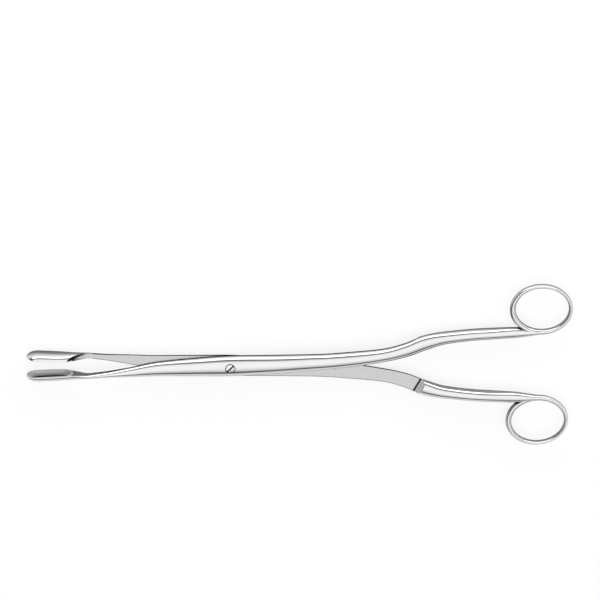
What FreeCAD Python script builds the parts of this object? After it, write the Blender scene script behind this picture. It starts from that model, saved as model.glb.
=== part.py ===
import FreeCAD, Part

import math
import os

from FreeCAD import Vector

# Ovum forceps with cupped jaws, a screw joint and two finger rings. Millimetres and degrees.
# The origin is on the pivot axis, midway between the two arms. The handles point along +X,
# the jaws along -X, and +Z is the pivot axis on the side of the screw's head.
# Each arm is drawn with the forceps closed, so that the rim of its jaw lies on the X axis,
# and is then turned open by half of the rest opening.

# Lengths along the closed forceps
tip_reach = 104.2  # pivot axis to the tip of a jaw
ring_reach = 160.2  # pivot axis to the centre of a finger ring
rest_opening = 5.1  # angle between the two rims as the forceps lies in use

# Cupped jaw
jaw_length = 23.0  # tip to the back of the cup's mouth
jaw_width = 9.8
jaw_depth = 3.6  # rim to the back of the cup
nose_length = 7.0  # length of the rounded end in side view
jaw_wall = 0.8
mouth_end_length = 3.8  # length of the mouth's rounded ends
mouth_taper = 1.0  # how much narrower the mouth is at its back
lip_height = 0.35  # height of the rim's rounded edge
jaw_gap = 0.2  # space left between the rims when the forceps is closed

# Neck behind the jaw
heel_length = 14.5  # back of the mouth to the slimmest place
neck_width = 3.0
neck_thickness = 2.4
neck_drop = 2.1  # the neck's middle lies this far outside the closing line

# Joint, one arm over the other
joint_width = 11.5
joint_thickness = 4.2  # of one arm
lap_gap = 0.06  # between the flats of the two arms
jaw_cut_radius = 23.0  # hollow run-out of the flat, behind the jaw
jaw_cut_length = 10.9  # back of the mouth to the start of the flat

# Shank between the joint and the bend
shank_width = 8.9
shank_thickness = 3.6

# Bend and handle
bend_start = 46.0  # pivot axis to where the shank leaves the straight line
bend_length = 84.0
handle_offset = 12.0  # middle of a handle from the closing line
waist_width = 7.3  # slimmest place of the flats, at the foot of the bend
handle_width = 8.0  # widest place, in the bend
handle_depth = 6.2
root_width = 5.9  # handle where it meets the ring
root_depth = 5.0
root_lead = 15.0  # from there to the ring's centre, along the handle
shoulder_reach = 96.2  # pivot axis to the foot of the step that ends the flat
shoulder_share = 0.6  # the step's reach is measured this far out towards the handle's middle
shoulder_slant = 25.0
shoulder_radius = 3.3

# Finger ring, an oval of rounded bar
ring_inner_length = 27.3
ring_inner_width = 23.4
ring_bar = 2.5
ring_bar_depth = 3.4
ring_bar_swell = 0.3  # the bar is this much more than half as wide at the handle's side
swell_angle = 225.0  # where round the ring it is widest
ring_sink = 0.2  # the bar's middle lies this far inside the handle's middle
ring_tilt = -5.0

# Pivot screw
head_diameter = 5.1
head_height = 1.6
bearing_diameter = 3.8
thread_diameter = 3.0
slot_width = 0.8
slot_depth = 0.7
slot_angle = 45.0
head_clearance = 0.08
seat_clearance = 0.03
bearing_clearance = 0.02
thread_clearance = 0.01

# Steps along the arm at which its section is drawn
nose_steps = 9
jaw_step = 2.6
body_step = 6.0
ring_steps = 16
hollow_steps = 20
section_points = 20
incline_step = 0.5  # the middle line's slope is taken over this length each way
split_margin = 3.0  # the arm's lengths meet at least this far from the ends of the flat
joining_tolerance = 0.005

x_axis = Vector(1, 0, 0)
y_axis = Vector(0, 1, 0)
z_axis = Vector(0, 0, 1)
pivot = Vector(0, 0, 0)
reach_beyond = 40.0  # cutting solids reach this far past the arm

rim_level = -jaw_gap / 2
tip_x = -tip_reach
mouth_back_x = tip_x + jaw_length
neck_x = mouth_back_x + heel_length
flat_start_x = mouth_back_x + jaw_cut_length
root_x = ring_reach - root_lead
ring_mid_length = (ring_inner_length + ring_bar) / 2
ring_mid_width = (ring_inner_width + ring_bar) / 2
ring_centre = Vector(ring_reach, handle_offset - ring_sink + ring_mid_width, 0)


def part_way(start, end, share):
    return start + (end - start) * share


def arm_stations():
    """Rows from the end of the jaw's nose to the finger ring: x, middle, width, half thickness,
    and how far up the width the section is thickest."""
    def along_jaw(before_back, narrowed):
        return (mouth_back_x - before_back, rim_level - jaw_depth / 2, jaw_depth,
                jaw_width / 2 * narrowed, 1 - lip_height / jaw_depth)

    def neck_to_joint(share, middle, grown, thickened):
        return (neck_x * (1 - share),
                -neck_drop * middle,
                part_way(neck_width, joint_width, grown),
                part_way(neck_thickness, joint_thickness, thickened), 0.5)

    def along_bend(share, rise, width, thickness):
        return (bend_start + bend_length * share, handle_offset * rise, width, thickness, 0.5)

    half_depth = handle_depth / 2
    ring_bottom = ring_centre.y - ring_mid_width
    return [
        along_jaw(jaw_length - nose_length, 1.0),
        along_jaw(jaw_length * 0.44, 0.99),
        along_jaw(jaw_length * 0.2, 0.92),
        along_jaw(0.0, 0.79),
        (part_way(mouth_back_x, neck_x, 0.28), -neck_drop, part_way(jaw_depth, neck_width, 0.6),
         part_way(neck_thickness, jaw_width / 2, 0.36), 0.79),
        (part_way(mouth_back_x, neck_x, 0.58), -neck_drop * 1.12, neck_width * 0.93,
         part_way(neck_thickness, jaw_width / 2, 0.18), 0.6),
        neck_to_joint(0.0, 1.0, 0.0, 0.05),
        neck_to_joint(0.22, 0.62, 0.25, 0.0),
        neck_to_joint(0.46, 0.05, 0.6, 0.3),
        neck_to_joint(0.78, -0.05, 0.87, 0.85),
        (0.0, 0.0, joint_width, joint_thickness, 0.5),
        (bend_start * 0.45, -0.15, part_way(joint_width, shank_width, 0.35), joint_thickness, 0.5),
        along_bend(0.0, 0.0, shank_width, shank_thickness),
        along_bend(0.21, 0.07, part_way(shank_width, waist_width, 0.4), shank_thickness),
        along_bend(0.41, 0.21, waist_width, part_way(shank_thickness, half_depth, 0.5)),
        along_bend(0.53, 0.40, part_way(waist_width, handle_width, 0.5), half_depth),
        along_bend(0.64, 0.68, handle_width, half_depth),
        along_bend(0.78, 0.89, part_way(handle_width, root_width, 0.65), half_depth),
        along_bend(1.0, 0.99, part_way(handle_width, root_width, 0.9), half_depth),
        (root_x, handle_offset, root_width, root_depth / 2, 0.5),
        (ring_reach, ring_bottom, ring_bar, ring_bar_depth / 2, 0.5),
    ]


def smooth_slopes(xs, ys):
    """Slopes at the stations that never overshoot between two of them."""
    steps = [(ys[i + 1] - ys[i]) / (xs[i + 1] - xs[i]) for i in range(len(xs) - 1)]
    slopes = [steps[0]]
    for i in range(1, len(steps)):
        if steps[i - 1] * steps[i] <= 0:
            slopes.append(0.0)
        else:
            slopes.append(2 * steps[i - 1] * steps[i] / (steps[i - 1] + steps[i]))
    slopes.append(steps[-1])
    return slopes


def smooth_value(xs, ys, slopes, x):
    """Cubic through the stations with the given slopes."""
    i = max(n for n in range(len(xs) - 1) if xs[n] <= x or n == 0)
    span = xs[i + 1] - xs[i]
    t = (x - xs[i]) / span
    return (ys[i] * (1 + 2 * t) * (1 - t) ** 2 + ys[i + 1] * t * t * (3 - 2 * t)
            + slopes[i] * span * t * (1 - t) ** 2 - slopes[i + 1] * span * t * t * (1 - t))


def section_wire(origin, across, top, bottom, side, seam=math.pi):
    """Smooth closed section about origin, in the plane of across and Z: half an ellipse
    reaching to top on one side and half an ellipse reaching to bottom on the other.
    Its seam is at the bottom, out of the jaw's mouth, unless another angle is given."""
    points = []
    for step in range(section_points):
        angle = seam + 2 * math.pi * step / section_points
        reach = top if math.cos(angle) >= 0 else -bottom
        points.append(origin + across * (reach * math.cos(angle)) + z_axis * (side * math.sin(angle)))
    curve = Part.BSplineCurve()
    curve.interpolate(Points=points, PeriodicFlag=True)
    return Part.Wire(curve.toShape())


def nose_rows():
    """Rows of x, top, bottom, widest level and half thickness round the jaw's nose."""
    back = rim_level - jaw_depth
    lip = rim_level - lip_height
    half = jaw_width / 2
    rows = []
    for step in range(1, nose_steps):
        angle = math.pi / 2 * step / nose_steps
        along = nose_length * (1 - math.cos(angle))
        plan = math.sqrt(1 - max(0.0, 1 - along / half) ** 2)
        rows.append((tip_x + along, lip + lip_height * plan, part_way(lip, back, math.sin(angle)), lip,
                     half * plan))
    return rows


def body_rows():
    """The same rows from the end of the nose to the ring, drawn smoothly through the stations."""
    columns = list(zip(*arm_stations()))
    xs = columns[0]
    slopes = [smooth_slopes(xs, column) for column in columns]

    def at(column, x):
        return smooth_value(xs, columns[column], slopes[column], x)

    places = [xs[0]]
    while places[-1] < xs[-1]:
        step = jaw_step if places[-1] < neck_x else body_step
        places.append(places[-1] + step)
    places[-1] = xs[-1]
    rows = []
    for x in places:
        middle, width, thickness, share = [at(column, x) for column in (1, 2, 3, 4)]
        before = max(x - incline_step, xs[0])
        after = min(x + incline_step, xs[-1])
        incline = (at(1, after) - at(1, before)) / (after - before)
        half = width / 2 * math.hypot(1.0, incline)
        rows.append((x, middle + half, middle - half, middle + half * (2 * share - 1), thickness))
    return rows


def arm_loft(rows, seam, first=()):
    """Solid through the given rows, with the surface's seam at the given angle."""
    wires = list(first)
    for x, top, bottom, widest, side in rows:
        wires.append(section_wire(Vector(x, widest, 0), y_axis, top - widest, bottom - widest, side, seam))
    return Part.makeLoft(wires, True, False)


def arm_lengths():
    """The forged arm before any cutting, in three lengths that meet face to face: jaw and neck,
    joint and shank, handle. Each length's seam is kept clear of what is cut off it."""
    rows = nose_rows() + body_rows()
    neck_end = min(n for n, row in enumerate(rows) if row[0] > flat_start_x + split_margin)
    shank_end = max(n for n, row in enumerate(rows) if row[0] < shoulder_reach - 3 * split_margin)
    tip = Part.Vertex(Vector(tip_x, rim_level - lip_height, 0))
    kept_side = math.pi / 2
    jaw = arm_loft(rows[:neck_end + 1], kept_side, [tip])
    shank = arm_loft(rows[neck_end:shank_end + 1], -kept_side)
    handle = arm_loft(rows[shank_end:], kept_side)
    return jaw, shank, handle


def finger_ring():
    """Oval ring whose bar is widest towards the handle."""
    wires = []
    for step in range(ring_steps):
        angle = 2 * math.pi * step / ring_steps
        point = Vector(ring_mid_length * math.cos(angle), ring_mid_width * math.sin(angle), 0)
        outward = Vector(ring_mid_width * math.cos(angle), ring_mid_length * math.sin(angle), 0)
        outward.normalize()
        half = ring_bar / 2 + ring_bar_swell * math.cos(angle - math.radians(swell_angle))
        wires.append(section_wire(point, outward, half, -half, ring_bar_depth / 2))
    ring = Part.makeLoft(wires, True, False, True)
    ring.rotate(pivot, z_axis, ring_tilt)
    ring.translate(ring_centre)
    return ring


def cup_hollow():
    """The hollow of the jaw, open at the rim."""
    front_x = tip_x + jaw_wall
    length = mouth_back_x - front_x
    depth = jaw_depth - jaw_wall
    half = jaw_width / 2 - jaw_wall
    wires = [Part.Vertex(Vector(front_x, rim_level, 0))]
    for step in range(1, hollow_steps):
        angle = math.pi * step / hollow_steps
        along = length / 2 * (1 - math.cos(angle))
        from_end = min(along, length - along)
        plan = math.sqrt(1 - max(0.0, 1 - from_end / mouth_end_length) ** 2)
        floor = math.sqrt(1 - max(0.0, 1 - from_end / (nose_length - jaw_wall)) ** 2)
        narrower = mouth_taper / 2 * along / length
        origin = Vector(front_x + along, rim_level, 0)
        side = (half - narrower) * plan
        wires.append(section_wire(origin, y_axis, depth * floor, -depth * floor, side, 0.0))
    wires.append(Part.Vertex(Vector(mouth_back_x, rim_level, 0)))
    return Part.makeLoft(wires, True, False)


def lap_cut():
    """All that is milled off below the joint's flat, with its two hollow ends."""
    level = lap_gap / 2
    slant = math.tan(math.radians(shoulder_slant))
    middle = handle_offset * shoulder_share
    low_x = shoulder_reach + slant * (middle + reach_beyond)
    high_x = shoulder_reach + slant * (middle - reach_beyond)
    corners = [
        Vector(flat_start_x, -reach_beyond, level),
        Vector(low_x, -reach_beyond, level),
        Vector(high_x, reach_beyond, level),
        Vector(flat_start_x, reach_beyond, level),
    ]
    block = Part.Face(Part.makePolygon(corners + corners[:1])).extrude(Vector(0, 0, -reach_beyond))
    jaw_end = Part.makeCylinder(
        jaw_cut_radius, 2 * reach_beyond,
        Vector(flat_start_x, -reach_beyond, level - jaw_cut_radius), y_axis)
    shoulder_axis = Vector(high_x - low_x, 2 * reach_beyond, 0)
    shoulder = Part.makeCylinder(
        shoulder_radius, shoulder_axis.Length,
        Vector(low_x, -reach_beyond, level - shoulder_radius), shoulder_axis)
    return block.fuse([jaw_end, shoulder])


def cut_arm(lengths):
    """One arm with its jaw hollowed and its joint milled to half, closed and not yet drilled."""
    jaw, shank, handle = lengths
    milled = lap_cut()
    jaw = jaw.cut(cup_hollow()).cut(milled)
    shank = shank.cut(milled)
    handle = handle.cut(milled).fuse(finger_ring())
    return jaw.fuse((shank, handle), joining_tolerance).removeSplitter()


def front_arm(arm):
    """Upper half of the joint, bored for the screw's bearing and head."""
    seat = joint_thickness - head_height
    bore = Part.makeCylinder(bearing_diameter / 2 + bearing_clearance, reach_beyond)
    head_bore = Part.makeCylinder(
        head_diameter / 2 + head_clearance, reach_beyond, Vector(0, 0, seat))
    made = arm.cut([bore, head_bore])
    made.rotate(pivot, z_axis, rest_opening / 2)
    return made


def rear_arm(arm):
    """The same forging turned over, with a threaded hole for the screw."""
    hole = Part.makeCylinder(thread_diameter / 2 + thread_clearance, reach_beyond)
    made = arm.cut(hole)
    made.rotate(pivot, x_axis, 180)
    made.rotate(pivot, z_axis, -rest_opening / 2)
    return made


def pivot_screw(shank):
    """Slotted screw, finished flush with the outside of both arms."""
    seat = joint_thickness - head_height + seat_clearance
    head = Part.makeCylinder(head_diameter / 2, joint_thickness, Vector(0, 0, seat))
    bearing = Part.makeCylinder(bearing_diameter / 2, seat + lap_gap / 2, Vector(0, 0, -lap_gap / 2))
    thread = Part.makeCylinder(thread_diameter / 2, 2 * joint_thickness, Vector(0, 0, -2 * joint_thickness))
    slot = Part.makeBox(joint_width, slot_width, joint_thickness)
    slot.translate(Vector(-joint_width / 2, -slot_width / 2, joint_thickness - slot_depth))
    slot.rotate(pivot, z_axis, slot_angle)
    upper = shank.rotated(pivot, z_axis, rest_opening / 2)
    lower = shank.rotated(pivot, x_axis, 180).rotated(pivot, z_axis, -rest_opening / 2)
    head = head.fuse(bearing).common(upper)
    thread = thread.common(lower)
    return head.fuse(thread).cut(slot).removeSplitter()


def main():
    os.makedirs("parts", exist_ok=True)
    lengths = arm_lengths()
    arm = cut_arm(lengths)
    parts = {
        "front_arm": front_arm(arm),
        "rear_arm": rear_arm(arm),
        "pivot_screw": pivot_screw(lengths[1]),
    }
    for name, shape in parts.items():
        box = shape.BoundBox
        print(name, len(shape.Solids), shape.isValid(), round(shape.Volume, 2),
              [round(v, 2) for v in (box.XMin, box.XMax, box.YMin, box.YMax, box.ZMin, box.ZMax)])
        shape.exportStep("parts/" + name + ".step")


main()
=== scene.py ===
import math
import bpy
import bmesh
import numpy as np
from mathutils import Matrix, Vector


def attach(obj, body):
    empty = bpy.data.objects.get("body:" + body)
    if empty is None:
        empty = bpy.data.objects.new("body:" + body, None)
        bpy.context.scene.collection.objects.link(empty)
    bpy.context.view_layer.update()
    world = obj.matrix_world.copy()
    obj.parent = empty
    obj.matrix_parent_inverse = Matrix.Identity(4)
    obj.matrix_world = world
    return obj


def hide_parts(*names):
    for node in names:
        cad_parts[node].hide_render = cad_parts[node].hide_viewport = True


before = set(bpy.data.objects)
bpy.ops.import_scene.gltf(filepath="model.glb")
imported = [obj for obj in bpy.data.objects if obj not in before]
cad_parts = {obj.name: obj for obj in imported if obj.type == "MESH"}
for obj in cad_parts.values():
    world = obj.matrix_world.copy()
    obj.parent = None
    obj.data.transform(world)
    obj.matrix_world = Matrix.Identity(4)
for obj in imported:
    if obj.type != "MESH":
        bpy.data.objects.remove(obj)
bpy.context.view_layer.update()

mm = 0.001  # the shapes below are worked out in millimetres
tiny = 1e-9  # keeps a rounding error from counting
cutsNothing = -100.0  # a level far below every piece

# One arm, drawn closed as in the CAD: handles +X, jaw -X, inner side +Y, outer face +Z.
arm = {
    "tipReach": 104.2,
    "ringReach": 160.2,
    "restOpening": 5.1,  # degrees between the two jaws' rims
    "jawLength": 23.0,
    "jawWidth": 9.8,
    "jawDepth": 3.6,
    "noseLength": 7.0,
    "jawWall": 0.8,
    "mouthEndLength": 3.8,
    "mouthTaper": 1.0,
    "lipHeight": 0.35,
    "jawGap": 0.2,
    "heelLength": 14.5,
    "neckWidth": 3.0,
    "neckThickness": 2.4,
    "neckDrop": 2.1,  # how far the neck's middle lies back from the closing line
    "jointWidth": 11.5,
    "jointThickness": 4.2,
    "lapGap": 0.06,
    "jawCutRadius": 23.0,
    "jawCutLength": 10.9,
    "shankWidth": 8.9,
    "shankThickness": 3.6,
    "bendStart": 46.0,
    "bendLength": 84.0,
    "handleOffset": 12.0,
    "waistWidth": 7.3,
    "handleWidth": 8.0,
    "handleDepth": 6.2,
    "rootWidth": 5.9,
    "rootDepth": 5.0,
    "rootLead": 15.0,  # from the ring's middle back to the end of the handle
    "shoulderReach": 96.2,
    "shoulderLevel": 0.6,  # share of the handle's offset at which that reach is measured
    "shoulderSlant": 25.0,
    "shoulderRadius": 3.3,
    "ringInnerLength": 27.3,
    "ringInnerWidth": 23.4,
    "ringBar": 2.5,
    "ringBarDepth": 3.4,
    "ringBarSwell": 0.3,  # added to the bar's half width at the swell's angle, by the handle
    "swellAngle": 225.0,
    "ringSink": 0.2,
    "ringTilt": -5.0,
    "edgeRound": 0.12,  # softness of the milled edges
    "rimRound": 0.10,  # softness of the mouth's inner edge
    "mouthPoints": 76,  # round one row of the arm, on the mouth's side and at the back
    "backPoints": 52,
    "ringPoints": 200,  # round the ring, and round its bar
    "barPoints": 44,
    "noseRows": 31,  # closer together towards the tip and the mouth's two ends
    "mouthEndRows": 25,
    "jawStep": 0.45,  # steps along the arm from one row of points to the next
    "neckStep": 0.75,
    "shoulderStep": 0.16,
    "handleStep": 1.0,
    "shoulderZone": (88.0, 104.0),
    "leastStep": 0.02,
    "slopeStep": 0.5,  # to either side, for the slope of the arm's middle line
    "leastHollow": 0.02,  # half width at which the mouth begins
    "bowlShare": 0.74,  # of the points across the mouth lie in the bowl, and the others on the lip
    "gather": 0.4,  # how far the points are drawn towards the lap's two edges
    "gatherStart": 12.0,  # lengths over which that begins behind the neck and ends at the shoulder
    "gatherEnd": 4.0,
}

rimLevel = -arm["jawGap"] / 2
tipX = -arm["tipReach"]
mouthBackX = tipX + arm["jawLength"]
neckX = mouthBackX + arm["heelLength"]
flatStartX = mouthBackX + arm["jawCutLength"]
rootX = arm["ringReach"] - arm["rootLead"]
ringMidLength = (arm["ringInnerLength"] + arm["ringBar"]) / 2
ringMidWidth = (arm["ringInnerWidth"] + arm["ringBar"]) / 2
ringCentreY = arm["handleOffset"] - arm["ringSink"] + ringMidWidth


def partWay(start, end, share):
    # The start, plus this share of the way to the end.
    return start + (end - start) * share


def armStations():
    # x, middle, width, half thickness and the widest share of the width, from jaw to ring. Numbers
    # without a name are shares of the lengths above.
    a = arm
    halfDepth = a["handleDepth"] / 2

    def jaw(beforeBack, narrowed):
        return (mouthBackX - beforeBack, rimLevel - a["jawDepth"] / 2, a["jawDepth"],
                a["jawWidth"] / 2 * narrowed, 1 - a["lipHeight"] / a["jawDepth"])

    def neck(share, middle, grown, thickened):
        return (neckX * (1 - share), -a["neckDrop"] * middle,
                partWay(a["neckWidth"], a["jointWidth"], grown),
                partWay(a["neckThickness"], a["jointThickness"], thickened), 0.5)

    def bend(share, rise, width, thickness):
        return (a["bendStart"] + a["bendLength"] * share, a["handleOffset"] * rise,
                width, thickness, 0.5)

    return np.array([
        jaw(a["jawLength"] - a["noseLength"], 1.0),
        jaw(a["jawLength"] * 0.44, 0.99),
        jaw(a["jawLength"] * 0.2, 0.92),
        jaw(0.0, 0.79),
        (partWay(mouthBackX, neckX, 0.28), -a["neckDrop"],
         partWay(a["jawDepth"], a["neckWidth"], 0.6),
         partWay(a["neckThickness"], a["jawWidth"] / 2, 0.36), 0.79),
        (partWay(mouthBackX, neckX, 0.58), -a["neckDrop"] * 1.12, a["neckWidth"] * 0.93,
         partWay(a["neckThickness"], a["jawWidth"] / 2, 0.18), 0.6),
        neck(0.0, 1.0, 0.0, 0.05),
        neck(0.22, 0.62, 0.25, 0.0),
        neck(0.46, 0.05, 0.6, 0.3),
        neck(0.78, -0.05, 0.87, 0.85),
        (0.0, 0.0, a["jointWidth"], a["jointThickness"], 0.5),
        (a["bendStart"] * 0.45, -0.15, partWay(a["jointWidth"], a["shankWidth"], 0.35),
         a["jointThickness"], 0.5),
        bend(0.0, 0.0, a["shankWidth"], a["shankThickness"]),
        bend(0.21, 0.07, partWay(a["shankWidth"], a["waistWidth"], 0.4), a["shankThickness"]),
        bend(0.41, 0.21, a["waistWidth"], partWay(a["shankThickness"], halfDepth, 0.5)),
        bend(0.53, 0.40, partWay(a["waistWidth"], a["handleWidth"], 0.5), halfDepth),
        bend(0.64, 0.68, a["handleWidth"], halfDepth),
        bend(0.78, 0.89, partWay(a["handleWidth"], a["rootWidth"], 0.65), halfDepth),
        bend(1.0, 0.99, partWay(a["handleWidth"], a["rootWidth"], 0.9), halfDepth),
        (rootX, a["handleOffset"], a["rootWidth"], a["rootDepth"] / 2, 0.5),
        (a["ringReach"], ringCentreY - ringMidWidth, a["ringBar"], a["ringBarDepth"] / 2, 0.5),
    ])


def smoothThrough(xs, ys, x):
    # Cubic through the stations: each slope is the harmonic mean of its two neighbours' steps, or
    # zero where they turn, so the line never overshoots.
    steps = np.diff(ys) / np.diff(xs)
    slopes = np.empty_like(ys)
    slopes[0], slopes[-1] = steps[0], steps[-1]
    product = steps[:-1] * steps[1:]
    total = np.where(np.abs(steps[:-1] + steps[1:]) > tiny, steps[:-1] + steps[1:], 1.0)
    slopes[1:-1] = np.where(product > 0, 2 * product / total, 0.0)
    i = np.clip(np.searchsorted(xs, x, side="right") - 1, 0, len(xs) - 2)
    span = xs[i + 1] - xs[i]
    t = (x - xs[i]) / span
    return (ys[i] * (1 + 2 * t) * (1 - t) ** 2 + ys[i + 1] * t * t * (3 - 2 * t)
            + slopes[i] * span * t * (1 - t) ** 2 - slopes[i + 1] * span * t * t * (1 - t))


stations = armStations()


def endRound(along, length):
    # A quarter ellipse: from 0 at the end up to 1 after its length.
    return np.sqrt(1 - np.clip(1 - along / length, 0, 1) ** 2)


def archOver(across, half):
    # Half an ellipse: 1 in the middle, 0 at its half width and beyond.
    return np.sqrt(np.clip(1 - (across / np.maximum(half, tiny)) ** 2, 0, 1))


def armRows(x):
    # Top, bottom, widest level and half thickness of the blank at each x.
    a = arm
    bodyX = np.maximum(x, stations[0, 0])
    middle, width, thickness, share = [smoothThrough(stations[:, 0], stations[:, n], bodyX)
                                       for n in (1, 2, 3, 4)]
    before = np.maximum(bodyX - a["slopeStep"], stations[0, 0])
    after = np.minimum(bodyX + a["slopeStep"], stations[-1, 0])
    incline = (smoothThrough(stations[:, 0], stations[:, 1], after)
               - smoothThrough(stations[:, 0], stations[:, 1], before)) / (after - before)
    half = width / 2 * np.hypot(1.0, incline)
    top, bottom, widest = middle + half, middle - half, middle + half * (2 * share - 1)
    # round the nose: an ellipse in side view and a half circle in plan
    along = x - tipX
    lip = rimLevel - a["lipHeight"]
    plan = endRound(along, a["jawWidth"] / 2)
    fall = endRound(along, a["noseLength"])
    nose = x < stations[0, 0]
    top = np.where(nose, lip + a["lipHeight"] * plan, top)
    bottom = np.where(nose, partWay(lip, rimLevel - a["jawDepth"], fall), bottom)
    widest = np.where(nose, lip, widest)
    thickness = np.where(nose, a["jawWidth"] / 2 * plan, thickness)
    return top, bottom, widest, thickness


def cupHollow(x):
    # Half width and depth of the cup's hollow at each x, zero outside the mouth.
    a = arm
    frontX = tipX + a["jawWall"]
    length = mouthBackX - frontX
    along = np.clip(x - frontX, 0, length)
    fromEnd = np.minimum(along, length - along)
    plan = endRound(fromEnd, a["mouthEndLength"])
    floor = endRound(fromEnd, a["noseLength"] - a["jawWall"])
    half = a["jawWidth"] / 2 - a["jawWall"] - a["mouthTaper"] / 2 * along / length
    return half * plan, (a["jawDepth"] - a["jawWall"]) * floor


def pastShoulder(x, y):
    # Distance past the slanted foot of the shoulder.
    slant = math.radians(arm["shoulderSlant"])
    rise = y - arm["handleOffset"] * arm["shoulderLevel"]
    return (x - arm["shoulderReach"] + rise * math.tan(slant)) * math.cos(slant)


def fallingAway(level, distance, radius):
    # A level that falls away over the distance, along a circle of this radius.
    along = np.clip(distance, 0, radius)
    return level - radius + np.sqrt(np.clip(radius ** 2 - along ** 2, 0, None))


def lapFloor(x, y):
    # Level below which the joint is milled off: the flat, the round run-out of the jaw cut towards
    # the jaw, and the shoulder's quarter round past its slanted foot.
    a = arm
    level = a["lapGap"] / 2
    past = pastShoulder(x, y)
    before = flatStartX - x
    radius, shoulder = a["jawCutRadius"], a["shoulderRadius"]
    floor = np.full(np.broadcast(x, y).shape, level)
    floor = np.where(before > 0, fallingAway(level, before, radius), floor)
    floor = np.where(past > 0, fallingAway(level, past, shoulder), floor)
    return np.where((before > radius) | (past > shoulder), cutsNothing, floor)


def roundedMax(p, q, softness):
    # The larger of two levels, eased where they cross.
    mix = np.clip(0.5 + (p - q) / (2 * softness), 0, 1)
    return q + (p - q) * mix + softness * mix * (1 - mix)


def rowPlaces():
    # Places along the arm, closer together at the nose, the mouth's ends and the shoulder.
    a = arm
    noseTurn = np.linspace(0, math.pi / 2, a["noseRows"])[1:]
    mouthTurn = np.linspace(0, math.pi / 2, a["mouthEndRows"])[1:]
    nose = tipX + a["noseLength"] * (1 - np.cos(noseTurn))
    mouthEnd = a["mouthEndLength"] * (1 - np.cos(mouthTurn))
    jawEnd = mouthBackX + 2
    shoulderStart, shoulderEnd = a["shoulderZone"]
    places = np.concatenate([
        nose,
        tipX + a["jawWall"] + mouthEnd,
        mouthBackX - mouthEnd,
        np.arange(tipX + a["noseLength"], jawEnd, a["jawStep"]),
        np.arange(jawEnd, shoulderStart, a["neckStep"]),
        np.arange(shoulderStart, shoulderEnd, a["shoulderStep"]),
        np.arange(shoulderEnd, a["ringReach"], a["handleStep"]),
        [mouthBackX, tipX + a["jawWall"], a["ringReach"]],
    ])
    places = np.unique(np.round(places, 4))
    keep = np.concatenate([[True], np.diff(places) > a["leastStep"]])
    return places[keep]


def armPoints():
    # Grid of the whole milled arm without its ring: one row of points round it per place. Mouth
    # side: half an ellipse up to the rim, lowered to the cup's hollow. Back: half an ellipse. Then
    # whatever lies below the lap's level is lifted onto it.
    a = arm
    x = rowPlaces()[:, None]
    top, bottom, widest, side = armRows(x)
    hollow, depth = cupHollow(x)
    # angle round the section, closer together at the flat's two edges
    quarter = math.pi / 2
    s = np.concatenate([
        np.linspace(-quarter, quarter, a["mouthPoints"], endpoint=False),
        np.linspace(quarter, 3 * quarter, a["backPoints"], endpoint=False),
    ])[None, :]
    lapped = (np.clip((x - neckX) / a["gatherStart"], 0, 1)
              * np.clip((a["shoulderZone"][1] - x) / a["gatherEnd"], 0, 1))
    angle = s - a["gather"] * lapped * np.sin(2 * s)
    mouthSide = np.cos(s) >= -tiny
    z = side * np.sin(angle)
    # across the mouth the points go over the lip and then down into the bowl
    share = np.clip(s / quarter, -1, 1)
    bowl = a["bowlShare"]
    inMouth = (hollow > a["leastHollow"]) & mouthSide
    acrossBowl = hollow * np.sin(np.clip(share / bowl, -1, 1) * quarter)
    onLip = np.clip((np.abs(share) - bowl) / (1 - bowl), 0, 1)
    overLip = np.sign(share) * (hollow + (side - hollow) * np.sin(onLip * quarter))
    z = np.where(inMouth, np.where(np.abs(share) <= bowl, acrossBowl, overLip), z)
    arch = archOver(z, side)
    y = np.where(mouthSide, widest + (top - widest) * arch, widest + (bottom - widest) * arch)
    bowlLevel = np.where(np.abs(z) < hollow, rimLevel - depth * archOver(z, hollow), -cutsNothing)
    y = np.where(inMouth, -roundedMax(-y, -bowlLevel, a["rimRound"]), y)
    floor = lapFloor(x, y)
    z = np.where(z < floor + a["edgeRound"], roundedMax(z, floor, a["edgeRound"]), z)
    return np.stack([np.broadcast_to(x, y.shape), y, z], axis=-1)


def ringPoints():
    # Grid of the finger ring: a bar of elliptic section carried round an ellipse, a little thicker
    # towards one side, and then tilted.
    a = arm
    angle = np.linspace(0, 2 * math.pi, a["ringPoints"], endpoint=False)[:, None]
    turn = np.linspace(0, 2 * math.pi, a["barPoints"], endpoint=False)[None, :]
    out = np.hypot(ringMidWidth * np.cos(angle), ringMidLength * np.sin(angle))
    half = a["ringBar"] / 2 + a["ringBarSwell"] * np.cos(angle - math.radians(a["swellAngle"]))
    reach = half * np.cos(turn)
    x = ringMidLength * np.cos(angle) + reach * ringMidWidth * np.cos(angle) / out
    y = ringMidWidth * np.sin(angle) + reach * ringMidLength * np.sin(angle) / out
    z = a["ringBarDepth"] / 2 * np.sin(turn) + 0 * angle
    tilt = math.radians(a["ringTilt"])
    return np.stack([a["ringReach"] + x * math.cos(tilt) - y * math.sin(tilt),
                     ringCentreY + x * math.sin(tilt) + y * math.cos(tilt), z], axis=-1)


def gridMesh(name, points, closedRows=False, capEnds=False):
    # Mesh of a grid of points, closed round each row. Its ends meet, or get a cap each.
    rows, columns = points.shape[:2]
    index = np.arange(rows * columns).reshape(rows, columns)
    lower = index if closedRows else index[:-1]
    upper = np.roll(index, -1, axis=0) if closedRows else index[1:]
    faces = np.stack([lower, np.roll(lower, -1, axis=1), np.roll(upper, -1, axis=1), upper], axis=-1)
    faces = faces.reshape(-1, 4).tolist()
    if capEnds:
        faces.append(index[0, ::-1].tolist())
        faces.append(index[-1].tolist())
    mesh = bpy.data.meshes.new(name)
    mesh.from_pydata((points.reshape(-1, 3) * mm).tolist(), [], faces)
    return mesh


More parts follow.
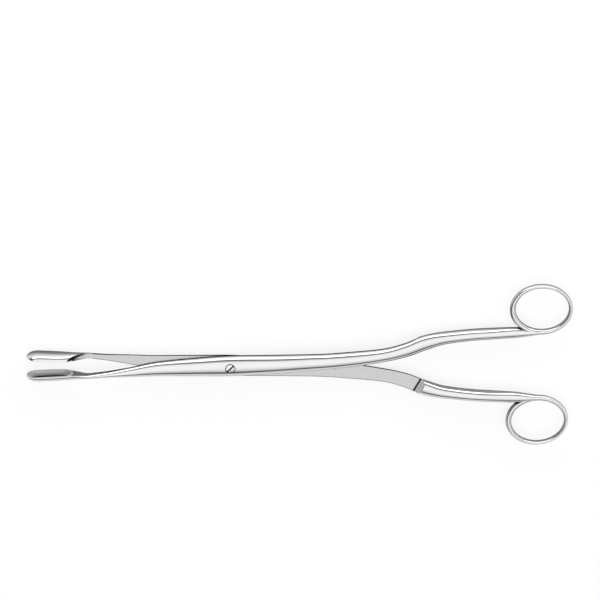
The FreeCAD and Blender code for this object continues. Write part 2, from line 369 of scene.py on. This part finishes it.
def cleanMesh(mesh, distance=2e-6):
    # Merges doubled points and turns every face outwards.
    work = bmesh.new()
    work.from_mesh(mesh)
    bmesh.ops.remove_doubles(work, verts=work.verts, dist=distance)
    bmesh.ops.recalc_face_normals(work, faces=work.faces)
    work.to_mesh(mesh)
    work.free()


def addObject(name, data):
    # Puts a mesh, lamp or camera into the scene at the origin, unturned.
    made = bpy.data.objects.new(name, data)
    bpy.context.scene.collection.objects.link(made)
    return made


def solidWith(name, mesh, others):
    # The mesh joined with or cut by the other meshes, as a new mesh.
    body = addObject(name + "_blank", mesh)
    tools = []
    for operation, tool in others:
        cutter = addObject(name + "_tool", tool)
        step = body.modifiers.new("step", "BOOLEAN")
        step.operation = operation
        step.solver = "EXACT"
        step.object = cutter
        tools.append(cutter)
    bpy.context.view_layer.update()
    finished = body.evaluated_get(bpy.context.evaluated_depsgraph_get())
    ready = bpy.data.meshes.new_from_object(finished)
    ready.name = name
    for spent in tools + [body]:
        bpy.data.objects.remove(spent)
    return ready


def rod(radius, low, high, points=96):
    # Closed cylinder on the pivot axis.
    turn = np.linspace(0, 2 * math.pi, points, endpoint=False)
    grid = np.zeros((2, points, 3))
    grid[:, :, 0] = radius * np.cos(turn)
    grid[:, :, 1] = radius * np.sin(turn)
    grid[:, :, 2] = np.array([[low], [high]])
    mesh = gridMesh("rod", grid, capEnds=True)
    cleanMesh(mesh)
    return mesh


def turned(mesh, flipped, degrees):
    # Turns a closed arm over if asked, and then open about the pivot axis.
    place = Matrix.Rotation(math.radians(degrees), 4, "Z")
    if flipped:
        place = place @ Matrix.Rotation(math.pi, 4, "X")
    mesh.transform(place)


def smoothShaded(mesh, sharpAngle=38):
    # Smooth all over, apart from edges that turn by more than the angle.
    mesh.shade_smooth()
    mesh.set_sharp_from_angle(angle=math.radians(sharpAngle))


screw = {
    "headDiameter": 5.1,
    "headHeight": 1.6,
    "bearingDiameter": 3.8,
    "threadDiameter": 3.0,
    "slotWidth": 0.8,
    "slotDepth": 0.7,
    "slotAngle": 45.0,
    "headClearance": 0.08,
    "bearingClearance": 0.02,
    "threadClearance": 0.01,
    "crownSink": 0.02,  # the head lies this much below the arm's crown
    "edgeRound": 0.35,
    "edgeRows": 5,
    "roundPoints": 96,
    "headRings": (2.1, 1.7, 1.2, 0.7, 0.3, 0.0),  # radii of the rings of points on the two ends
    "backRings": (0.0, 0.35, 0.7, 1.05),
    "flatGap": 0.03,  # between the screw's steps and the faces they lie on
    "slotReach": 1.5,  # length of the slot's cutter, times the head
    "slotRise": 3.0,
    # where the slot's painted shade reaches:
    "slotMargin": 0.02,  # what still counts as the slot, beside it and below it
    "slotBelow": 0.1,
    "slotTop": 0.06,  # and how much of its sides stays bright under the crown
    # width of the painted shade ring round the head's edge
    "darkRim": 0.3,
    "holeReach": 8.0,  # how far the holes' cutters stand out of the arms
    "seatOverlap": 0.5,
    "holeMargin": 0.01,
}
headSeat = arm["jointThickness"] - screw["headHeight"]


def eased(value, start, end):
    # 0 before start, 1 after end, and a smooth step between them.
    t = np.clip((value - start) / (end - start), 0, 1)
    return t * t * (3 - 2 * t)


def writeShares(mesh, name, shares):
    # Keeps a share from 0 to 1 at each point, for the steel to read.
    layer = mesh.attributes.new(name, "FLOAT", "POINT")
    layer.data.foreach_set("value", shares.astype(np.float32))


def meshPoints(mesh):
    # The mesh's points in millimetres, one row each.
    points = np.zeros(len(mesh.vertices) * 3)
    mesh.vertices.foreach_get("co", points)
    return points.reshape(-1, 3) / mm


def faceCentres(mesh):
    # The middles of its faces in millimetres, as x, y and z.
    centres = np.zeros(len(mesh.polygons) * 3)
    mesh.polygons.foreach_get("center", centres)
    return (centres.reshape(-1, 3) / mm).T


# Steel: polished all over, satin on the milled flats, with a fine lengthwise grain.
steel = {
    "colour": (0.83, 0.835, 0.84),
    "shade": (0.76, 0.765, 0.77),
    "roughness": (0.09, 0.16),
    "screwRoughness": (0.16, 0.26),
    "flatColour": (0.86, 0.865, 0.87),
    "flatShade": (0.62, 0.625, 0.63),
    "flatRoughness": (0.40, 0.50),
    # painted shade, and the painted highlight that is partly a ground finish
    "paintedShadeColour": (0.02, 0.021, 0.023),
    "paintedShadeRoughness": 0.45,
    "groundAndHighlightColour": (0.95, 0.955, 0.96),
    "groundAndHighlightMetal": 0.2,  # the brightened places scatter the light: partly a ground finish, partly a painted highlight
    "cloudScale": 70.0,  # faint clouds from the shade to the colour
    "flatCloudScale": 600.0,
    "cloudDetail": 3.0,
    "cloudRange": (0.3, 0.7),
    "grainScale": (60, 900, 900),  # long along the arm, fine across it
    "grainDetail": 4.0,
    "grainStrength": 0.02,
    "grainDepth": 0.00002,
}


def node(tree, kind, **settings):
    made = tree.nodes.new(kind)
    for name, value in settings.items():
        setattr(made, name, value)
    return made


def feed(tree, socket, value):
    # Links another node's output to the socket, or sets a fixed value on it.
    if isinstance(value, bpy.types.NodeSocket):
        tree.links.new(value, socket)
    else:
        socket.default_value = value


def mixedColour(tree, share, first, second, **settings):
    # The first colour, and by this share the second.
    mix = node(tree, "ShaderNodeMix", data_type="RGBA", **settings)
    feed(tree, mix.inputs[0], share)
    feed(tree, mix.inputs[6], first)
    feed(tree, mix.inputs[7], second)
    return mix.outputs[2]


def mapped(tree, value, low, high, start=0.0, end=1.0):
    # From low at the start to high at the end, along a straight line.
    line = node(tree, "ShaderNodeMapRange")
    feed(tree, line.inputs["Value"], value)
    feed(tree, line.inputs["From Min"], start)
    feed(tree, line.inputs["From Max"], end)
    feed(tree, line.inputs["To Min"], low)
    feed(tree, line.inputs["To Max"], high)
    return line.outputs["Result"]


def noise(tree, place, scale, detail):
    made = node(tree, "ShaderNodeTexNoise")
    feed(tree, made.inputs["Vector"], place)
    feed(tree, made.inputs["Scale"], scale)
    feed(tree, made.inputs["Detail"], detail)
    return made.outputs["Fac"]


def steelMaterial(name, shade, colour, roughness, cloudScale=steel["cloudScale"]):
    # Clouds from the shade to the colour and from the lower to the higher roughness. One point share
    # darkens the steel and roughens it, as painted shade; another makes it bright and less metallic,
    # as a painted highlight, which on the mouth's rim is partly a ground finish.
    material = bpy.data.materials.new(name)
    material.use_nodes = True
    tree = material.node_tree
    shader = tree.nodes["Principled BSDF"]
    place = node(tree, "ShaderNodeTexCoord").outputs["Object"]
    paintedShade = node(tree, "ShaderNodeAttribute", attribute_name="paintedShade").outputs["Fac"]
    groundAndHighlight = node(tree, "ShaderNodeAttribute", attribute_name="groundAndHighlight").outputs["Fac"]
    cloud = noise(tree, place, cloudScale, steel["cloudDetail"])
    base = mixedColour(tree, cloud, (*shade, 1), (*colour, 1))
    base = mixedColour(tree, paintedShade, base, (*steel["paintedShadeColour"], 1))
    base = mixedColour(tree, groundAndHighlight, base, (*steel["groundAndHighlightColour"], 1))
    feed(tree, shader.inputs["Base Color"], base)
    feed(tree, shader.inputs["Metallic"], mapped(tree, groundAndHighlight, 1.0, steel["groundAndHighlightMetal"]))
    roughen = node(tree, "ShaderNodeMix", data_type="FLOAT")
    feed(tree, roughen.inputs[0], paintedShade)
    feed(tree, roughen.inputs[2], mapped(tree, cloud, *roughness, *steel["cloudRange"]))
    feed(tree, roughen.inputs[3], steel["paintedShadeRoughness"])
    feed(tree, shader.inputs["Roughness"], roughen.outputs[0])
    stretch = node(tree, "ShaderNodeMapping")
    feed(tree, stretch.inputs["Vector"], place)
    feed(tree, stretch.inputs["Scale"], steel["grainScale"])
    grain = noise(tree, stretch.outputs["Vector"], 1.0, steel["grainDetail"])
    bump = node(tree, "ShaderNodeBump")
    feed(tree, bump.inputs["Strength"], steel["grainStrength"])
    feed(tree, bump.inputs["Distance"], steel["grainDepth"])
    feed(tree, bump.inputs["Height"], grain)
    feed(tree, shader.inputs["Normal"], bump.outputs["Normal"])
    return material


polished = steelMaterial("polished_steel", steel["shade"], steel["colour"], steel["roughness"])
screwSteel = steelMaterial("screw_steel", steel["shade"], steel["colour"], steel["screwRoughness"])
satin = steelMaterial("satin_steel", steel["flatShade"], steel["flatColour"], steel["flatRoughness"],
                      steel["flatCloudScale"])
# painted shade, for the insides of the screw's holes, its slot and the gap round its head
paintedShadeSteel = steelMaterial("painted_shade_steel", steel["paintedShadeColour"], steel["paintedShadeColour"],
                          steel["flatRoughness"])
print("steels mixed")


# Painted shade and painted highlight on the arms: darker where shade falls, in the cup's depth, the
# jaw cut's crescent, the shoulder's foot, along the milled edges and in the corner at the ring;
# brighter on the mouth's rim, partly a ground finish and partly a painted highlight, and painted
# highlights in the cup near its rim and on the shoulder. Two numbers are where a change starts and
# where it is complete.
paintedLight = {
    "cupNear": 0.25,  # distance from the cup's drawn hollow that still counts as the cup
    "cupMargin": 0.1,  # and how far below its rim that starts
    "cupEdge": 0.02,
    "lapNear": 0.06,  # distance from the milled faces that still counts as one of them
    "satinNear": 0.08,
    "satinPast": 0.1,  # the satin ends this far past the shoulder's foot
    "bowl": (1.9, 2.6),  # painted shade, by depth in the cup
    "bowlLeast": 0.05,
    "runOut": (3.0, 5.5),  # painted shade crescent, by distance before the flat, in the jaw cut's hollow
    "milled": (1.3, 2.4),  # thickness milled away, where the hollow's painted shade crescent fades again
    "foot": (-0.35, 0.1),  # painted shade, by distance past the shoulder's foot
    "footWidth": 0.8,
    "footFade": 0.5,
    "edgeShade": 1.0,  # painted shade line along the milled edges of the lap
    "edgeInset": (0.1, 0.4),
    "edgeHeight": (0.48, 1.2),
    "edgeEnd": 0.5,
    "notch": (0.3, 1.3),  # painted shade, by distance from the corner between the ring and the handle
    "rimWidth": 0.9,
    "rimSpread": 0.3,
    # painted highlight in the cup near its rim, and on the shoulder's upper part
    "cupHighlight": 0.75,
    "cupHighlightStart": 1.4,
    "stepHighlight": 0.8,
    "stepLead": (0.4, 1.0),  # where the shoulder's painted highlight starts, past the painted dark foot
}


def onCup(x, y, z):
    # Near the half ellipse of the cup's hollow, and below its rim.
    hollow, depth = cupHollow(x)
    bowl = rimLevel - depth * archOver(z, hollow)
    near = np.abs(y - bowl) < paintedLight["cupNear"]
    return (np.abs(z) < hollow) & near & (y < rimLevel - paintedLight["cupMargin"])


def onMilled(x, y, z, near):
    return np.abs(z - lapFloor(x, y)) < near


def paintedArmShade(points):
    # Painted shade share at each point of an arm, darker where shade falls: the depth of the cup, the
    # crescent of the jaw cut, the foot of the shoulder, a line along the milled edges, and the corner
    # at the ring.
    x, y, z = points.T
    sunk = eased(rimLevel - y, *paintedLight["bowl"])
    paintedShade = np.where(onCup(x, y, z), partWay(paintedLight["bowlLeast"], 1, sunk), 0.0)
    onLap = onMilled(x, y, z, paintedLight["lapNear"])
    before, past = flatStartX - x, pastShoulder(x, y)
    top, bottom, widest, side = armRows(x)
    reach = np.where(y > widest, top - widest, widest - bottom)
    milled = lapFloor(x, y) + side * archOver(y - widest, reach)
    crescent = eased(before, *paintedLight["runOut"]) * (1 - eased(milled, *paintedLight["milled"]))
    paintedShade = np.where(onLap & (before > 0), crescent, paintedShade)
    footEnd = paintedLight["footWidth"] + paintedLight["footFade"]
    foot = eased(past, *paintedLight["foot"]) * (1 - eased(past, paintedLight["footWidth"], footEnd))
    paintedShade = np.where(onLap & (x > 0), foot, paintedShade)
    # the painted shade line along the edges lies on the flat and on the side above it
    inset = np.minimum(top - y, y - bottom)
    onFlat = onLap & (before < paintedLight["edgeEnd"]) & (past < 0)
    edge = np.where(onFlat, 1 - eased(inset, *paintedLight["edgeInset"]), 0.0)
    above = z - arm["lapGap"] / 2
    onSide = ~onLap & (before < paintedLight["edgeEnd"]) & (past < paintedLight["edgeEnd"])
    edge = np.where(onSide, 1 - eased(above, *paintedLight["edgeHeight"]), edge)
    # the ring's outer side, as an ellipse
    outLength, outWidth = ringMidLength + arm["ringBar"] / 2, ringMidWidth + arm["ringBar"] / 2
    fromMiddle = np.hypot((x - arm["ringReach"]) / outLength, (y - ringCentreY) / outWidth)
    offRing = np.abs(fromMiddle - 1) * outWidth
    # painted shade in the corner between the ring and the handle
    notch = (1 - eased(offRing, *paintedLight["notch"])) * (1 - eased(np.abs(top - y), *paintedLight["notch"]))
    notch = np.where((x > rootX) & (x < arm["ringReach"] - outLength / 3), notch, 0.0)
    return np.maximum(np.maximum(paintedShade, notch), paintedLight["edgeShade"] * edge)


def groundAndHighlightShare(points):
    # Bright share at each point of an arm: the rim all round the mouth, partly a ground finish and
    # partly a painted highlight, and painted highlights on the cup near its rim and on the upper part
    # of the shoulder.
    x, y, z = points.T
    a = arm
    hollow, depth = cupHollow(x)
    fromEnd = np.minimum(x - tipX, mouthBackX + paintedLight["rimWidth"] - x)
    plan = endRound(fromEnd, a["mouthEndLength"] + paintedLight["rimWidth"])
    outer = np.where(fromEnd > 0, a["jawWidth"] / 2 * plan, 0)
    rim = 1 - eased(np.abs(z) - outer, 0, paintedLight["rimSpread"])
    rim *= (fromEnd > 0) * eased(y, rimLevel - 2 * a["lipHeight"], rimLevel - a["lipHeight"])
    sunk, margin = rimLevel - y, paintedLight["cupMargin"]
    inMouth = (np.abs(z) < hollow - paintedLight["cupEdge"]) & (sunk > margin) & (sunk < depth + margin)
    deep = eased(sunk, paintedLight["cupHighlightStart"], paintedLight["bowl"][1])
    cup = paintedLight["cupHighlight"] * (1 - deep) * inMouth
    start, end = [paintedLight["footWidth"] + lead for lead in paintedLight["stepLead"]]
    step = eased(pastShoulder(x, y), start, end) * onMilled(x, y, z, paintedLight["lapNear"])
    return np.where(x < 0, np.maximum(rim, cup), paintedLight["stepHighlight"] * step)


def dressArm(mesh):
    # Satin on the lap's faces and in the cup, painted shade inside the screw's holes, polished
    # elsewhere.
    for material in (polished, satin, paintedShadeSteel):
        mesh.materials.append(material)
    x, y, z = faceCentres(mesh)
    onLap = onMilled(x, y, z, paintedLight["satinNear"]) & (pastShoulder(x, y) < paintedLight["satinPast"])
    kind = np.where(onCup(x, y, z) | onLap, 1, 0)
    holeRadius = screw["headDiameter"] / 2 + screw["headClearance"] + screw["holeMargin"]
    kind = np.where(np.hypot(x, y) < holeRadius, 2, kind)
    mesh.polygons.foreach_set("material_index", kind.astype(np.int32))


def makeArm(name, flipped, holes):
    # The arm and its ring joined, drilled, dressed, turned over if it is the rear one, and opened.
    body = gridMesh(name, armPoints(), capEnds=True)
    cleanMesh(body)
    ring = gridMesh(name + "_ring", ringPoints(), closedRows=True)
    cleanMesh(ring)
    mesh = solidWith(name, body, [("UNION", ring)] + [("DIFFERENCE", hole) for hole in holes])
    writeShares(mesh, "paintedShade", paintedArmShade(meshPoints(mesh)))
    writeShares(mesh, "groundAndHighlight", groundAndHighlightShare(meshPoints(mesh)))
    mesh.materials.clear()
    dressArm(mesh)
    turned(mesh, flipped, arm["restOpening"] / 2 * (-1 if flipped else 1))
    smoothShaded(mesh)
    made = addObject(name, mesh)
    print("made", name, len(mesh.polygons), "faces")
    return made


holeRadii = [screw[part + "Diameter"] / 2 + screw[part + "Clearance"]
             for part in ("head", "bearing", "thread")]
frontArm = makeArm("front_arm_steel", False, [
    rod(holeRadii[1], -screw["holeReach"], headSeat + screw["seatOverlap"]),
    rod(holeRadii[0], headSeat, screw["holeReach"]),
])
rearArm = makeArm("rear_arm_steel", True, [
    rod(holeRadii[2], -screw["holeReach"], screw["holeReach"]),
])


def crownLevel(x, y, degrees):
    # Height of an arm's outer face over the pivot, for an arm turned open by so much.
    turn = math.radians(degrees)
    armX = x * math.cos(turn) + y * math.sin(turn)
    armY = -x * math.sin(turn) + y * math.cos(turn)
    top, bottom, widest, side = armRows(armX)
    return side * archOver(armY - widest, top - widest)


def screwPoints():
    # Grid of the screw: rings of points from the middle of its back end, along its sides, to the
    # middle of its head. Both ends follow the crowns of the arms, and their edges are rounded by a
    # quarter circle.
    turn = np.linspace(0, 2 * math.pi, screw["roundPoints"], endpoint=False)
    half = arm["restOpening"] / 2
    head, bearing, thread = [screw[part + "Diameter"] / 2 for part in ("head", "bearing", "thread")]
    edge, gap = screw["edgeRound"], screw["flatGap"]
    bends = np.linspace(0, math.pi / 2, screw["edgeRows"])
    rings = [(r, "back", 0.0) for r in screw["backRings"]]
    rings += [(thread - edge + edge * math.sin(b), "back", edge * (1 - math.cos(b))) for b in bends]
    rings += [(thread, "level", -gap), (bearing, "level", -gap)]
    rings += [(bearing, "level", headSeat + gap), (head, "level", headSeat + gap)]
    rings += [(head - edge + edge * math.cos(b), "head", edge * (1 - math.sin(b))) for b in bends]
    rings += [(r, "head", 0.0) for r in screw["headRings"]]
    grid = np.zeros((len(rings), len(turn), 3))
    for n, (radius, kind, inset) in enumerate(rings):
        x, y = radius * np.cos(turn), radius * np.sin(turn)
        grid[n, :, 0], grid[n, :, 1] = x, y
        if kind == "head":
            grid[n, :, 2] = crownLevel(x, y, half) - screw["crownSink"] - inset
        elif kind == "back":
            grid[n, :, 2] = -crownLevel(x, -y, half) + screw["crownSink"] + inset
        else:
            grid[n, :, 2] = inset
    return grid


def makeScrew():
    # The turned screw with a straight slot cut across its head, with painted shade in the slot and
    # round its edge.
    body = gridMesh("pivot_screw", screwPoints())
    cleanMesh(body)
    length, width = screw["headDiameter"] * screw["slotReach"], screw["slotWidth"]
    low = arm["jointThickness"] - screw["slotDepth"]
    corners = np.array([[[-length / 2, -width / 2, low], [length / 2, -width / 2, low],
                         [length / 2, width / 2, low], [-length / 2, width / 2, low]]])
    rise = np.array([0, 0, screw["slotRise"]])
    slot = gridMesh("slot", np.concatenate([corners, corners + rise]), capEnds=True)
    turn = math.radians(screw["slotAngle"])
    slot.transform(Matrix.Rotation(turn, 4, "Z"))
    cleanMesh(slot)
    mesh = solidWith("pivot_screw_steel", body, [("DIFFERENCE", slot)])
    writeShares(mesh, "paintedShade", np.zeros(len(mesh.vertices)))
    writeShares(mesh, "groundAndHighlight", np.zeros(len(mesh.vertices)))
    mesh.materials.clear()
    mesh.materials.append(screwSteel)
    mesh.materials.append(paintedShadeSteel)
    x, y, z = faceCentres(mesh)
    across = -x * math.sin(turn) + y * math.cos(turn)
    crown = crownLevel(x, y, arm["restOpening"] / 2)
    inSlot = ((np.abs(across) < width / 2 + screw["slotMargin"])
              & (z > low - screw["slotBelow"]) & (z < crown - screw["slotTop"]))
    inGap = (np.hypot(x, y) > screw["headDiameter"] / 2 - screw["darkRim"]) & (z > 0)
    mesh.polygons.foreach_set("material_index", (inSlot | inGap).astype(np.int32))
    smoothShaded(mesh)
    made = addObject("pivot_screw_steel", mesh)
    print("made pivot_screw_steel", len(mesh.polygons), "faces")
    return made


pivotScrew = makeScrew()

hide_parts("front_arm")
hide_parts("rear_arm")
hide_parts("pivot_screw")
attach(frontArm, "front_half")
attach(rearArm, "rear_half")
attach(pivotScrew, "rear_half")
print("pieces placed")

# Floor, world and lamp, in metres. A ramp is a list of places from 0 to 1, each with its grey level.
stage = {
    "floorLevel": -0.00525,
    "floorSize": 3.0,
    "floorColour": (0.94, 0.94, 0.94),
    "floorRoughness": 0.9,
    "floorSpecular": 0.1,
    "ownShading": 0.3,  # how much of the floor's own light and shadow is seen
    "whiteness": 1.14,  # of the other part, so that the two together come to 1, which is white
    "floorTones": [(0.68, 0.0), (0.88, 0.10), (0.985, 0.85)],  # painted shadow that the steel sees in the floor, near to far
    "floorReach": 0.05,  # how far from the object the floor counts as near
    "floorSamples": 16,
    "skyStrength": 1.25,
    "skyPole": (0, -0.122, 0.993),
    "skyLevels": [(0.0, 0.95), (0.36, 1.0), (0.44, 0.3), (0.50, 0.12), (0.60, 0.12), (0.72, 0.55),
                  (0.82, 0.86), (1.0, 0.90)],  # by height along the pole
    "skySides": [(0.0, 0.62), (0.10, 0.62), (0.20, 0.78), (0.30, 0.93), (0.37, 1.0)],
    "skyEnds": [(0.0, 0.16), (0.13, 0.18), (0.27, 1.0)],
    "lampPlace": (0.03, 1.0, 0.30),
    "lampAim": (0.03, 0, 0),
    "lampWidth": 1.8,
    "lampHeight": 0.30,
    "lampPower": 2.4,
}


def greyRamp(tree, value, levels):
    # Grey level by the value, straight from each place to the next.
    ramp = node(tree, "ShaderNodeValToRGB")
    stops = ramp.color_ramp.elements
    while len(stops) < len(levels):
        stops.new(0.5)
    for stop, (place, level) in zip(stops, levels):
        stop.position = place
        stop.color = (level, level, level, 1)
    feed(tree, ramp.inputs["Fac"], value)
    return ramp.outputs["Color"]


def worked(tree, operation, first, second):
    # One step of arithmetic on two values.
    step = node(tree, "ShaderNodeMath", operation=operation)
    feed(tree, step.inputs[0], first)
    feed(tree, step.inputs[1], second)
    return step.outputs[0]


def paleFloor():
    # White to the camera, with a part of its own shading left, so that it keeps the shadow. The steel
    # sees a painted shadow in it, darker close to the object, by how much of the floor's surroundings
    # is open.
    half, level = stage["floorSize"] / 2, stage["floorLevel"]
    corners = [(x * half, y * half, level) for x, y in ((-1, -1), (1, -1), (1, 1), (-1, 1))]
    mesh = bpy.data.meshes.new("pale_floor")
    mesh.from_pydata(corners, [], [(0, 1, 2, 3)])
    floor = addObject("pale_floor", mesh)
    material = bpy.data.materials.new("pale_floor")
    material.use_nodes = True
    tree = material.node_tree
    shader = tree.nodes["Principled BSDF"]
    feed(tree, shader.inputs["Base Color"], (*stage["floorColour"], 1))
    feed(tree, shader.inputs["Roughness"], stage["floorRoughness"])
    feed(tree, shader.inputs["Specular IOR Level"], stage["floorSpecular"])
    path = node(tree, "ShaderNodeLightPath")
    glossy = path.outputs["Is Glossy Ray"]
    seen = worked(tree, "MAXIMUM", path.outputs["Is Camera Ray"], glossy)
    seen = worked(tree, "MAXIMUM", seen, path.outputs["Is Transmission Ray"])
    share = worked(tree, "MULTIPLY", seen, 1 - stage["ownShading"])
    # painted shadow seen by the steel: darker where the floor's surroundings are closed
    near = node(tree, "ShaderNodeAmbientOcclusion", samples=stage["floorSamples"])
    feed(tree, near.inputs["Distance"], stage["floorReach"])
    tones = greyRamp(tree, near.outputs["AO"], stage["floorTones"])
    white = node(tree, "ShaderNodeEmission")
    feed(tree, white.inputs["Strength"], stage["whiteness"])
    feed(tree, white.inputs["Color"], mixedColour(tree, glossy, (1, 1, 1, 1), tones))
    mix = node(tree, "ShaderNodeMixShader")
    feed(tree, mix.inputs[0], share)
    feed(tree, mix.inputs[1], shader.outputs[0])
    feed(tree, mix.inputs[2], white.outputs[0])
    feed(tree, tree.nodes["Material Output"].inputs["Surface"], mix.outputs[0])
    mesh.materials.append(material)


def softWorld():
    # Pale and dark bands by height along the pole, times a ramp across from -Y to +Y, times a ramp
    # along from -X to +X, as strips and flags of a studio.
    world = bpy.data.worlds.new("soft_world")
    bpy.context.scene.world = world
    world.use_nodes = True
    tree = world.node_tree
    back = tree.nodes["Background"]
    place = node(tree, "ShaderNodeTexCoord").outputs["Generated"]
    split = node(tree, "ShaderNodeSeparateXYZ")
    feed(tree, split.inputs[0], place)
    height = node(tree, "ShaderNodeVectorMath", operation="DOT_PRODUCT")
    feed(tree, height.inputs[0], place)
    feed(tree, height.inputs[1], stage["skyPole"])
    light = greyRamp(tree, height.outputs["Value"], stage["skyLevels"])
    for axis, levels in (("Y", stage["skySides"]), ("X", stage["skyEnds"])):
        ramp = greyRamp(tree, mapped(tree, split.outputs[axis], 0.0, 1.0, start=-1.0), levels)
        light = mixedColour(tree, 1.0, light, ramp, blend_type="MULTIPLY")
    feed(tree, back.inputs["Color"], light)
    feed(tree, back.inputs["Strength"], stage["skyStrength"])


def areaLight(name, place, aim, width, height, power):
    # A rectangular lamp that faces its aim.
    lamp = bpy.data.lights.new(name, "AREA")
    lamp.shape = "RECTANGLE"
    lamp.size, lamp.size_y = width, height
    lamp.energy = power
    made = addObject(name, lamp)
    made.location = place
    made.rotation_euler = (Vector(aim) - Vector(place)).to_track_quat("-Z", "Y").to_euler()


paleFloor()
softWorld()
areaLight("long_box", stage["lampPlace"], stage["lampAim"], stage["lampWidth"], stage["lampHeight"],
          stage["lampPower"])
print("floor and lights placed")

# The photograph's view: from 26 degrees off the vertical, towards the front arm's side.
view = {
    "tilt": 26.0,
    "yaw": -2.86,
    "roll": 0.1,
    "across": 35.83,  # middle of the picture from the pivot axis, in mm on the picture's plane
    "up": 33.5,
    "width": 307.14,
    "distance": 3.0,  # in metres
    "sensorWidth": 36.0,
    "farthest": 20.0,
}


def placeCamera():
    # The camera's three directions, each turned by tilt, then yaw, then roll, and its place at the
    # distance back from the middle of the picture.
    tilt, yaw, roll = [math.radians(view[n]) for n in ("tilt", "yaw", "roll")]
    level = Vector((1, 0, 0))
    up = Vector((0, math.cos(tilt), -math.sin(tilt)))
    back = Vector((0, math.sin(tilt), math.cos(tilt)))
    away = back * math.cos(yaw) + level * math.sin(yaw)
    right = level * math.cos(yaw) - back * math.sin(yaw)
    cameraUp = up * math.cos(roll) + right * math.sin(roll)
    cameraRight = right * math.cos(roll) - up * math.sin(roll)
    target = (cameraRight * view["across"] + cameraUp * view["up"]) * mm
    data = bpy.data.cameras.new("camera")
    data.sensor_width = view["sensorWidth"]
    data.lens = view["sensorWidth"] * view["distance"] / (view["width"] * mm)
    data.clip_end = view["farthest"]
    made = addObject("camera", data)
    turn = Matrix((cameraRight, cameraUp, away)).transposed().to_4x4()
    made.matrix_world = Matrix.Translation(target + away * view["distance"]) @ turn
    bpy.context.scene.camera = made


placeCamera()
bpy.context.scene.view_settings.view_transform = "Standard"
print("camera placed")
